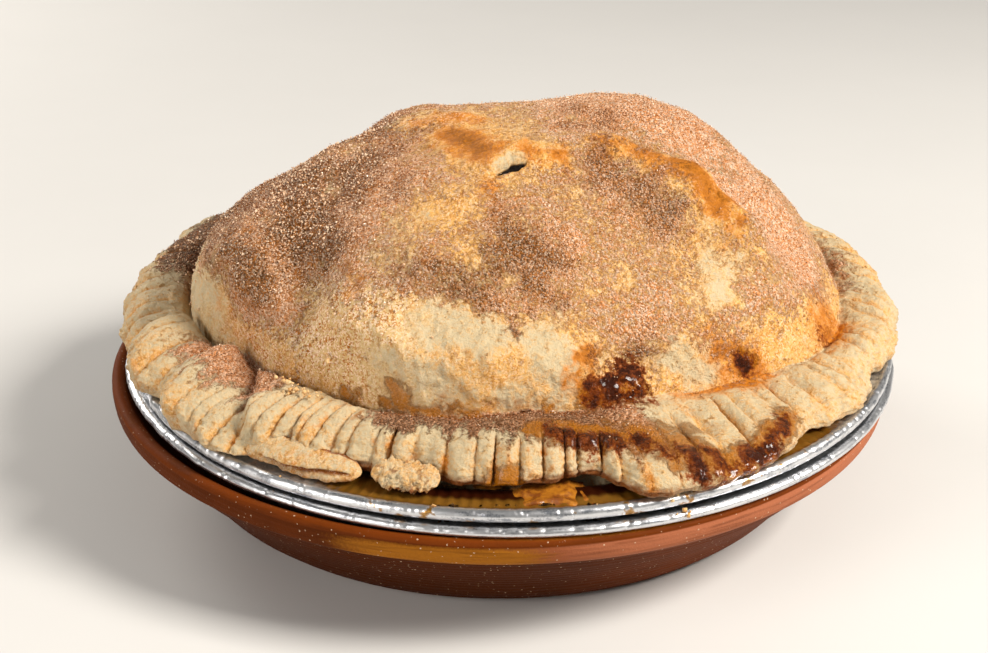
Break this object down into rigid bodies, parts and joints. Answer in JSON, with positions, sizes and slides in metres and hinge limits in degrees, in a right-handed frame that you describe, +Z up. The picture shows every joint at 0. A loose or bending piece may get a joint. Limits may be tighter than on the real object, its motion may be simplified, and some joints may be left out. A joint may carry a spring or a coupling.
{
  "type": "apple pie",
  "caption": "Heaped double-crust apple pie with a lumpy sugared dome, a short steam slit and a crimped, folded rim, in foil pie tins nested in a shallow clay dish.",
  "frame": {"origin": "middle of the dish's flat underside", "axes": "+Z up, -Y towards the side that the picture shows, +X to the right in the picture"},
  "size_m": [0.2584, 0.2548, 0.1181],
  "materials": {
    "crust": "baked pastry with cinnamon sugar",
    "foil": "bright crinkled foil",
    "clay": "unglazed fired clay"
  },
  "bodies": {
    "root": {"pie": "crust", "inner_tin": "foil", "outer_tin": "foil", "dish": "clay"}
  },
  "joints": []
}
